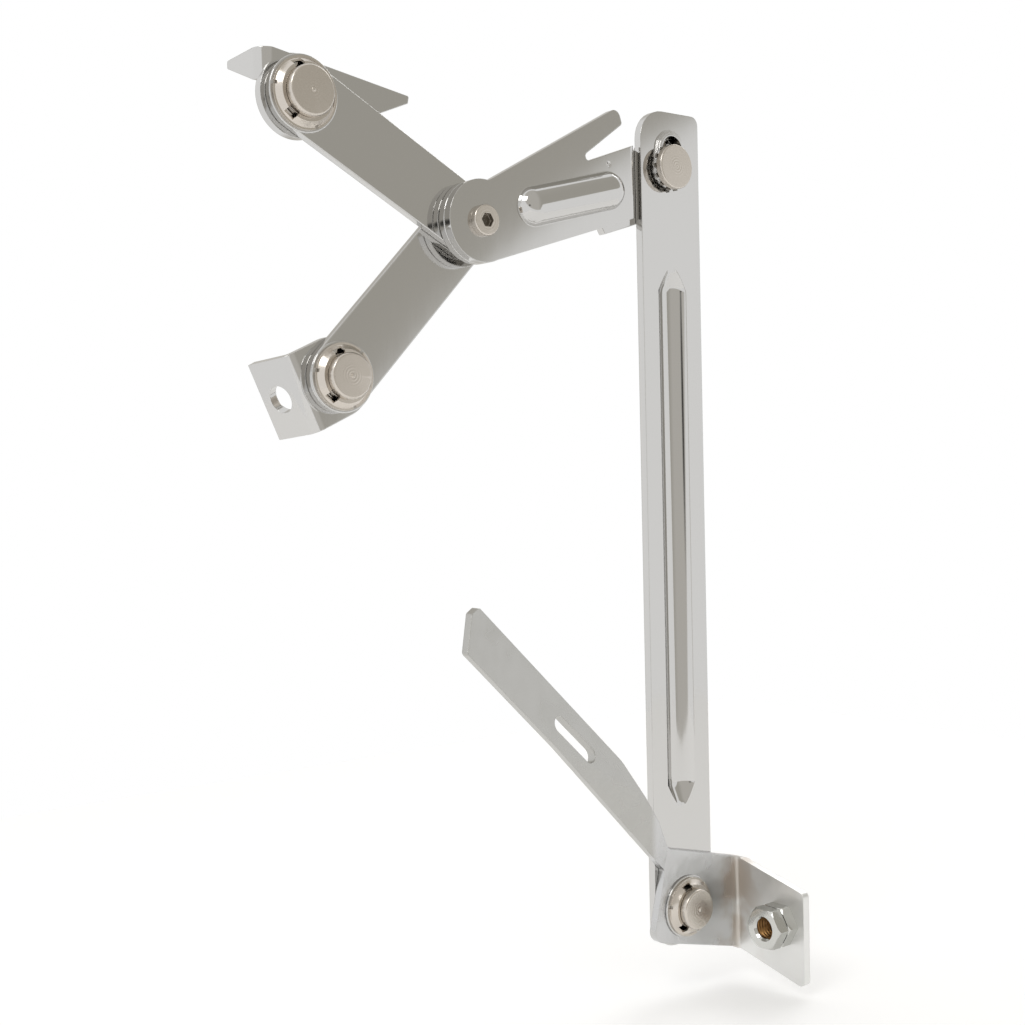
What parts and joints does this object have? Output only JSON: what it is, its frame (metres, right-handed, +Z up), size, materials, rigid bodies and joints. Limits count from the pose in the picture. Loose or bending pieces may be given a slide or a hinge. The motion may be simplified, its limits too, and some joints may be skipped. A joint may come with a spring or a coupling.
{
  "type": "hood support",
  "caption": "Folding hood support of plated pressed steel: a long strut on a folded base bracket carries a hooked arm, from which two links branch to small brackets",
  "frame": {"origin": "on the axis of the base bracket's weld nut, in the plane of the flange's outer face, which seats on the carrier", "axes": "+X out of the base flange along the nut's axis, +Z up the long strut, +Y away from the side that shows the clips"},
  "size_m": [0.177, 0.0614, 0.2965],
  "materials": {
    "plated_sheet": "bright plated steel sheet, mirror-like with faint rolling marks",
    "plated_nut": "bright zinc",
    "nickel_turned": "warm nickel, turned in fine rings",
    "spring_nickel": "satin nickel spring steel",
    "dark_spring": "plain spring steel"
  },
  "bodies": {
    "base": {"base_bracket": "plated_sheet", "weld_nut": "plated_nut", "base_pin": "nickel_turned", "base_pin_washer": "plated_sheet", "base_pin_clip": "spring_nickel"},
    "strut": {"long_strut": "plated_sheet"},
    "top_slider": {"top_pin": "nickel_turned", "top_lock_washer": "dark_spring"},
    "hooked_arm": {"hook_plate": "plated_sheet", "arm_plate": "plated_sheet", "centre_screw": "nickel_turned", "centre_bush": "nickel_turned", "centre_nut": "plated_nut"},
    "upper_swing": {"upper_link": "plated_sheet", "upper_pin": "nickel_turned", "upper_pin_washer": "plated_sheet", "upper_pin_clip": "spring_nickel"},
    "upper_foot": {"upper_bracket": "plated_sheet"},
    "lower_swing": {"lower_link": "plated_sheet", "lower_pin": "nickel_turned", "lower_pin_washer": "plated_sheet", "lower_pin_clip": "spring_nickel"},
    "lower_foot": {"lower_bracket": "plated_sheet"}
  },
  "joints": [
    {"name": "base_pivot", "type": "hinge", "parent": "base", "child": "strut", "pos_m": [-0.0273, 0.0232, 0.0065], "axis": [0, 1, 0], "range_deg": [-22, 90]},
    {"name": "slot_slide", "type": "slide", "parent": "strut", "child": "top_slider", "axis": [0.1736, 0, 0.9848], "range_m": [0, 0.0062]},
    {"name": "top_pivot", "type": "hinge", "parent": "top_slider", "child": "hooked_arm", "pos_m": [-0.0273, 0.0232, 0.2565], "axis": [0, 1, 0], "range_deg": [-4, 5]},
    {"name": "upper_link_pivot", "type": "hinge", "parent": "hooked_arm", "child": "upper_swing", "pos_m": [-0.1061, 0.0232, 0.2325], "axis": [0, 1, 0], "range_deg": [-45, 80]},
    {"name": "upper_bracket_pivot", "type": "hinge", "parent": "upper_swing", "child": "upper_foot", "pos_m": [-0.165, 0.0232, 0.2641], "axis": [0, 1, 0], "range_deg": [-60, 60]},
    {"name": "lower_link_pivot", "type": "hinge", "parent": "hooked_arm", "child": "lower_swing", "pos_m": [-0.1061, 0.0232, 0.2325], "axis": [0, 1, 0], "range_deg": [-70, 45]},
    {"name": "lower_bracket_pivot", "type": "hinge", "parent": "lower_swing", "child": "lower_foot", "pos_m": [-0.1526, 0.0232, 0.1847], "axis": [0, 1, 0], "range_deg": [-60, 60]}
  ]
}
